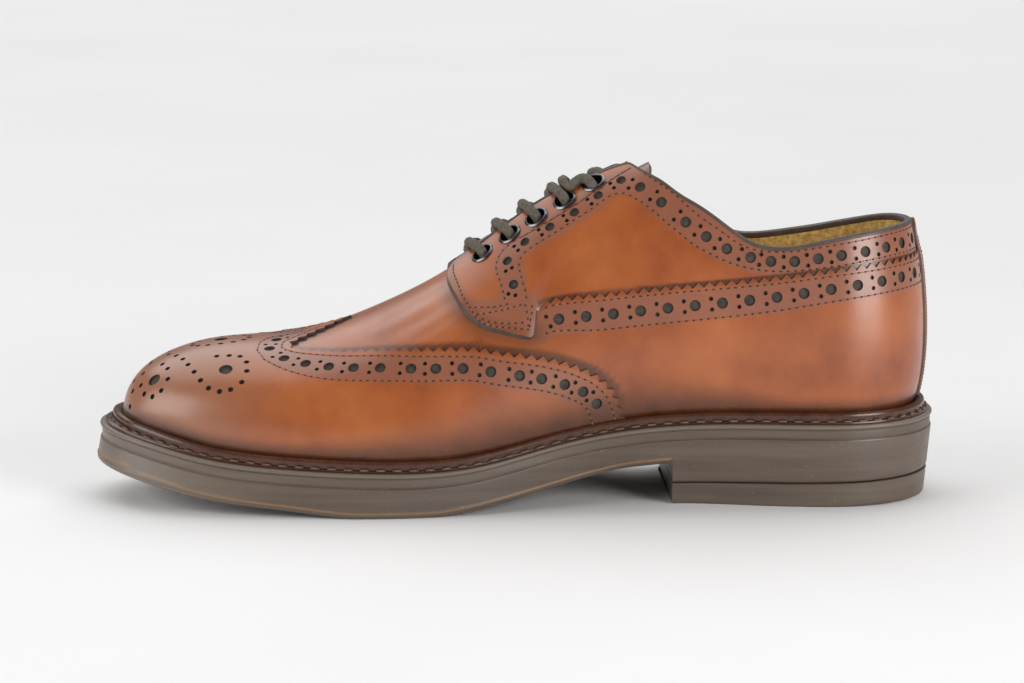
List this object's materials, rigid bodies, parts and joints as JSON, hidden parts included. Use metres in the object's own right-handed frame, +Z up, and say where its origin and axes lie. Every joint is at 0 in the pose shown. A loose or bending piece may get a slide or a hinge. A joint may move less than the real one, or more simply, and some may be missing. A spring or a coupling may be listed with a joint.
{
  "type": "derby shoe",
  "caption": "Right wing-tip brogue derby shoe with open lacing over a tongue, a storm welt and a moulded rubber sole with a heel, worn on the foot.",
  "frame": {"origin": "on the floor, under the middle of the shoe's box", "axes": "+X towards the heel, -X towards the toe, -Y to the inner (medial) side of the foot, +Z up"},
  "size_m": [0.3048, 0.1085, 0.1212],
  "materials": {
    "sole_rubber": "satin",
    "lift_rubber": "satin",
    "welt_leather": "burnished",
    "calf": "polished",
    "overlay_calf": "polished, darker along its punched edges",
    "insole_leather": "matte",
    "eyelet_metal": "gunmetal",
    "lace_cord": "braided"
  },
  "bodies": {
    "root": {"sole": "sole_rubber", "heel_top_lift": "lift_rubber", "welt": "welt_leather", "insole": "insole_leather", "upper": "calf", "tongue": "calf", "wing_cap": "overlay_calf", "galosh": "overlay_calf", "quarter_front_medial": "overlay_calf", "quarter_front_lateral": "overlay_calf", "back_strip": "overlay_calf", "eyelet_medial_1": "eyelet_metal", "eyelet_medial_2": "eyelet_metal", "eyelet_medial_3": "eyelet_metal", "eyelet_medial_4": "eyelet_metal", "eyelet_medial_5": "eyelet_metal", "eyelet_lateral_1": "eyelet_metal", "eyelet_lateral_2": "eyelet_metal", "eyelet_lateral_3": "eyelet_metal", "eyelet_lateral_4": "eyelet_metal", "eyelet_lateral_5": "eyelet_metal", "lace_bar_1": "lace_cord", "lace_bar_2": "lace_cord", "lace_bar_3": "lace_cord", "lace_bar_4": "lace_cord", "lace_bar_5": "lace_cord"}
  },
  "joints": []
}
